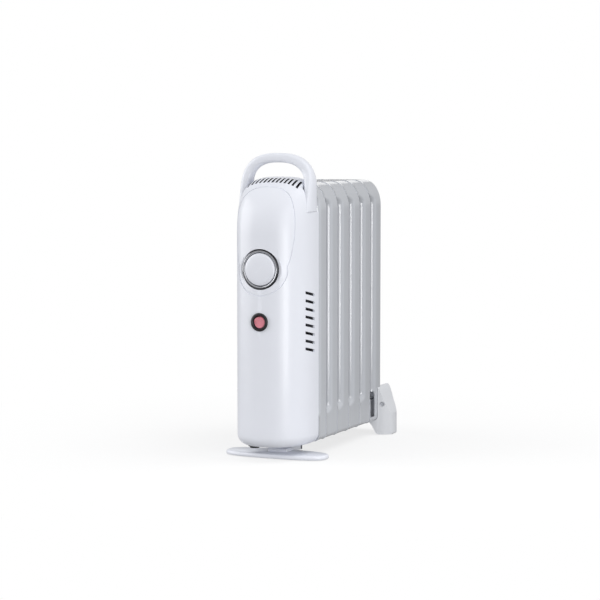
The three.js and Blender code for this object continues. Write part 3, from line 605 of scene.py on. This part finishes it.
def half_width(z):
    low, high = FIN_LOW + FIN_CORNER_LOW, FIN_HIGH - FIN_CORNER_Z
    if z < low:
        return FIN_HALF - FIN_CORNER_LOW + math.sqrt(max(0.0, FIN_CORNER_LOW**2 - (low - z) ** 2))
    if z > high:
        return FIN_HALF - FIN_CORNER_X + FIN_CORNER_X * math.sqrt(max(0.0, 1 - ((z - high) / FIN_CORNER_Z) ** 2))
    return FIN_HALF


def rounded_distance(x, z, half, low, high, r):
    """Distance outside a rounded upright box, negative inside it."""
    dx = abs(x) - half + r
    dz = abs(z - (low + high) / 2) - (high - low) / 2 + r
    return math.hypot(max(dx, 0), max(dz, 0)) + min(max(dx, dz), 0) - r


def oil_panel(x, z):
    """How far the pressed oil panel stands out, 0 to 1."""
    outside = rounded_distance(x, z, 34, 36, 322, 18)
    web = rounded_distance(x, z, 7, 97, 261, 7)
    return smoothstep(0, 5, -outside) * smoothstep(0, 4, web)


def fin_plate(columns=48, rows=150):
    sheets = []
    for face in (0, 1):
        rings = []
        for j in range(rows + 1):
            z = FIN_LOW + 0.7 + (FIN_HIGH - FIN_LOW - 1.4) * j / rows
            opened, _ = hood_share(0, z)
            w = half_width(z) - (8.0 + (0.7 - 8.0) * opened)
            ring = []
            for i in range(columns + 1):
                x = w * (2 * i / columns - 1)
                lift = 4.3 * oil_panel(x, z)
                ring.append((x, FIN_SHEET + lift if face else -lift, z))
            rings.append(ring)
        sheets.append(rings)
    rings = [a + list(reversed(b)) for a, b in zip(*sheets)]
    return skin(rings)


def fin_collar(z):
    y0, y1 = 5.2, FIN_PITCH - 4.6
    profile = [(13, y0), (19, y0), (17, y0 + 1.2), (16, y0 + 3), (16, y1 - 3), (17, y1 - 1.2), (19, y1), (13, y1)]
    return turned(profile, 0, z, 48)


def carve(shell, tools):
    """A closed skin with other solids cut out of it."""
    body = new_object("t", *shell)
    combine(body, new_object("t", *together(*tools)), "DIFFERENCE")
    verts = [tuple((v.co - to_row((0, 0, 0))) / MM) for v in body.data.vertices]
    faces = [tuple(face.vertices) for face in body.data.polygons]
    bpy.data.objects.remove(body)
    return verts, faces


def fin_shape(first, last):
    parts = [fin_rim(0.5 if first else FIN_HOOD), fin_plate()]
    if last:
        # slots low down in both sides, where the rear foot hooks in
        hooks = [block(side * 47 - 5, side * 47 + 5, -13, 4, 27, 61) for side in (-1, 1)]
        return together(*(carve(part, hooks) for part in parts))
    return together(*parts, *(fin_collar(z) for z in (OIL_LOW, OIL_HIGH)))


def make_fins():
    shapes = {}
    for k in range(FIN_COUNT):
        kind = (k == 0, k == FIN_COUNT - 1)
        if kind not in shapes:
            shapes[kind] = fin_shape(*kind)
        verts, faces = shapes[kind]
        y = FIN_FIRST + k * FIN_PITCH
        fin = new_object(f"fin_body_{k + 1}", [(a, b + y, c) for a, b, c in verts], faces, 30)
        soften(fin, 0.45, 3, 50)
        stand_for(fin, "fin_paint", "heater", f"fin_{k + 1}")


# ------------------------------------------------------------------ dial and switch
def make_dial():
    bezel = [(20.8, -66.3), (24.8, -66.3), (24.8, -67.6), (24.3, -68.5), (23.4, -69.0), (22.2, -69.0)]
    bezel += [(21.3, -68.5), (20.8, -67.6)]
    ring = new_object("dial_trim", *turned(bezel, 0, DIAL_Z), 50)
    stand_for(ring, "chrome_trim", "heater", "dial_bezel")
    # the trim's outer and inner edge faces get near-black metal: painted dark reflection on the chrome
    ring.data.materials.append(FINISHES["painted_dark_reflection"])
    for face in ring.data.polygons:
        middle = face.center - to_row((0, 0, DIAL_Z))
        far = math.hypot(middle.x, middle.z) / MM
        if far > 23.7 or far < 21.2:
            face.material_index = 1
    cap = [(0.05, -72.2), (6, -72.12), (12, -71.85), (16, -71.4), (18.4, -70.95), (19.4, -70.5), (20.0, -69.9)]
    cap += [(20.2, -69.2), (20.2, -66.6), (18, -66.6), (18, -68.8), (6, -68.8), (6, -66.6), (3.3, -66.6)]
    cap += [(3.3, -69.75), (0.05, -69.75)]
    knob = new_object("dial_cap", *turned_cap(cap, 0, DIAL_Z), 35)
    stand_for(knob, "white_plastic", "thermostat_dial", "thermostat_knob")


def make_switch():
    front = -72.2
    body = [(8.2, front + 9.5), (8.2, front + 0.5), (8.7, front), (10.5, front), (11.2, front + 0.35)]
    body += [(11.5, front + 0.9), (11.5, front + 1.9), (9.8, front + 1.9), (9.8, front + 21.9), (0.05, front + 21.9)]
    body += [(0.05, front + 9.5)]
    shell = new_object("switch_shell", *turned_cap(body[::-1] + [(0.05, front + 9.5)], 0, SWITCH_Z), 35)
    stand_for(shell, "black_plastic", "heater", "switch_body")
    pivot, tilt = front + 3.2, math.radians(9)
    rings = []
    for share in (-1.0, -0.9, -0.72, -0.5, -0.25, 0, 0.25, 0.5, 0.72, 0.9, 1.0):
        z = 6.9 * share
        w = 7.4 * math.sqrt(max(0.02, 1 - share * share * 0.97))
        y = -1.9 - 1.4 * abs(share) ** 1.3
        back = 4.4 - 1.0 * abs(share)
        ring = [(-w, back, z), (-w, y + 0.7, z), (-w + 0.6, y + 0.1, z), (0, y, z)]
        ring += [(w - 0.6, y + 0.1, z), (w, y + 0.7, z), (w, back, z)]
        turned_ring = []
        for a, b, c in ring:
            turned_ring.append(
                (
                    a,
                    pivot + b * math.cos(tilt) - c * math.sin(tilt),
                    SWITCH_Z + b * math.sin(tilt) + c * math.cos(tilt),
                )
            )
        rings.append(turned_ring)
    paddle = new_object("rocker_paddle", *skin(rings), 45)
    stand_for(paddle, "red_plastic", "power_rocker", "switch_rocker")


# ------------------------------------------------------------------ feet
def make_front_foot():
    levels = [(1.0, 1.6), (1.2, 0.8), (1.9, 0.2), (2.6, 0.0), (4.2, 0.0), (5.2, 0.35), (6.0, 1.1), (6.5, 2.4)]
    rings = []
    for z, inset in levels:
        points = (super_point(69 - inset, 24 - inset, 2.8, 2 * math.pi * (i + 0.5) / 112) for i in range(112))
        rings.append([(x, y - 18, z) for x, y in points])
    parts = [skin(rings), block(-13, 13, 1, 31.6, 3.5, 17), block(-13, 13, -18, 3, 3.5, 10.5)]
    parts += [block(-13, 13, 26.6, 31.4, 3.5, 41), block(-23.5, 23.5, 26.6, 31.4, 28, 41)]
    foot = new_object("front_base", *together(*parts), 40)
    soften(foot, 0.5, 3, 60)
    stand_for(foot, "white_plastic", "heater", "front_foot")


def make_rear_foot():
    half = [(34, 17.8), (38.5, 16.8), (42, 12.5), (45, 6.5), (47.5, 2.4), (50, 1), (65.5, 1), (67, 2.5), (67, 15)]
    half += [(66.9, 20), (66.4, 24), (65.6, 28), (64.4, 32), (62.7, 36), (60.8, 40), (59.1, 43.5), (57.5, 47)]
    half += [(55, 54), (52.6, 60), (51.6, 62.4), (50.5, 64), (49.3, 65.6), (48, 66.5), (46, 66.4), (44, 65.5)]
    half += [(38, 59)]
    outline = half + [(-x, z) for x, z in reversed(half)]
    foot = new_object("rear_base", *prism_y(outline, 150, 290), 30)
    plan = []
    for z in (0, 90):
        plan.append(
            [
                (x, y + 222.5, z)
                for x, y in (super_point(67, 24.5, 3, 2 * math.pi * (i + 0.5) / 96) for i in range(96))
            ]
        )
    combine(foot, new_object("t", *skin(plan)), "INTERSECT")
    pocket = []
    for x, z, nx, nz in fin_edge():
        pocket.append((x - nx * 0.4, z - nz * 0.4))
    tools = [prism_y(pocket, 150, 212.6), block(-30, 30, 216, 243, -5, 58)]
    tools += [disc_y(3.2, 180, 210, x, 42.5, 40) for x in (-55, 55)]
    tools += [disc_y(4.4, 224, 290, x, 50, 40) for x in (-40, 40)]
    combine(foot, new_object("t", *together(*tools)), "DIFFERENCE")
    shade(foot.data, 30)
    soften(foot, 0.9, 3, 30)
    stand_for(foot, "grey_plastic", "heater", "rear_foot")


make_cover()
make_handle()
make_fins()
make_dial()
make_switch()
make_front_foot()
make_rear_foot()

for name, obj in frame["nodes"].items():
    if not obj.hide_render:
        dress(obj, SLOT_OF[name])
        shade(obj.data, 35)

# ------------------------------------------------------------------ floor, camera and light
floor_mesh = bpy.data.meshes.new("floor")
floor_mesh.from_pydata([(-30, -30, 0), (30, -30, 0), (30, 30, 0), (-30, 30, 0)], [], [(0, 1, 2, 3)])
floor = bpy.data.objects.new("floor", floor_mesh)
bpy.context.scene.collection.objects.link(floor)
pale = bpy.data.materials.new("pale_floor")
pale.use_nodes = True
nodes, links = pale.node_tree.nodes, pale.node_tree.links
nodes["Principled BSDF"].inputs["Base Color"].default_value = (0.95, 0.95, 0.955, 1)
nodes["Principled BSDF"].inputs["Roughness"].default_value = 0.9
glow, blend = nodes.new("ShaderNodeEmission"), nodes.new("ShaderNodeMixShader")
where, reach, fade = nodes.new("ShaderNodeTexCoord"), nodes.new("ShaderNodeVectorMath"), nodes.new("ShaderNodeMapRange")
reach.operation = "LENGTH"
fade.interpolation_type = "SMOOTHSTEP"
fade.inputs["From Min"].default_value, fade.inputs["From Max"].default_value = 0.15, 0.6
fade.inputs["To Min"].default_value = 0.72
seen, power = nodes.new("ShaderNodeLightPath"), nodes.new("ShaderNodeMapRange")
power.inputs["To Min"].default_value, power.inputs["To Max"].default_value = 0.27, 1.0
links.new(seen.outputs["Is Camera Ray"], power.inputs["Value"])
links.new(power.outputs["Result"], glow.inputs["Strength"])
links.new(where.outputs["Object"], reach.inputs[0])
links.new(reach.outputs["Value"], fade.inputs["Value"])
links.new(fade.outputs["Result"], blend.inputs["Fac"])
links.new(nodes["Principled BSDF"].outputs["BSDF"], blend.inputs[1])
links.new(glow.outputs["Emission"], blend.inputs[2])
links.new(blend.outputs["Shader"], nodes["Material Output"].inputs["Surface"])
floor_mesh.materials.append(pale)

CAMERA_YAW, CAMERA_FAR, CAMERA_HEIGHT = math.radians(23.95), 2.5338, 0.4105
CAMERA_PITCH, CAMERA_ASIDE, CAMERA_LENS = math.radians(4.787), 0.0217, 120.03
right = Vector((math.cos(CAMERA_YAW), math.sin(CAMERA_YAW), 0))
look = Vector(
    (
        -math.sin(CAMERA_YAW) * math.cos(CAMERA_PITCH),
        math.cos(CAMERA_YAW) * math.cos(CAMERA_PITCH),
        -math.sin(CAMERA_PITCH),
    )
)
up = right.cross(look)
place = Vector((math.sin(CAMERA_YAW) * CAMERA_FAR, -math.cos(CAMERA_YAW) * CAMERA_FAR, CAMERA_HEIGHT))
place += right * CAMERA_ASIDE + Vector((0, STACK_ZERO, 0))
camera = bpy.data.objects.new("camera", bpy.data.cameras.new("camera"))
camera.data.lens = CAMERA_LENS
camera.data.sensor_width = 36
camera.matrix_world = Matrix.Translation(place) @ Matrix((right, up, -look)).transposed().to_4x4()
bpy.context.scene.collection.objects.link(camera)
bpy.context.scene.camera = camera


def lamp(name, where, size, power, aim=(0, 0, 0.2)):
    light = bpy.data.lights.new(name, "AREA")
    light.shape = "RECTANGLE"
    light.size, light.size_y = size
    light.energy = power
    obj = bpy.data.objects.new(name, light)
    obj.location = where
    obj.rotation_euler = (Vector(aim) - Vector(where)).to_track_quat("-Z", "Y").to_euler()
    bpy.context.scene.collection.objects.link(obj)
    return obj


lamp("key", (0.7, -0.74, 0.42), (0.6, 0.9), 2.7, (0, 0, 0.36))
lamp("low", (0.62, -0.52, 0.16), (0.32, 0.34), 1.5, (0, 0, 0.12))
lamp("left", (-2.0, -0.8, 1.0), (2.2, 2.0), 40, (0, 0, 0.9))
lamp("high", (1.2, 0.3, 2.3), (1.6, 1.6), 25).visible_glossy = False
lamp("rear", (-1.2, 2.4, 1.4), (1.8, 1.8), 6)

# The surroundings light the heater less than they show behind it.
world = bpy.data.worlds.new("studio")
world.use_nodes = True
nodes, links = world.node_tree.nodes, world.node_tree.links
seen, power = nodes.new("ShaderNodeLightPath"), nodes.new("ShaderNodeMapRange")
power.inputs["To Min"].default_value, power.inputs["To Max"].default_value = 0.44, 1.0
links.new(seen.outputs["Is Camera Ray"], power.inputs["Value"])
links.new(power.outputs["Result"], nodes["Background"].inputs["Strength"])
nodes["Background"].inputs["Color"].default_value = (1, 1, 1, 1)
bpy.context.scene.world = world
bpy.context.scene.view_settings.view_transform = "Standard"
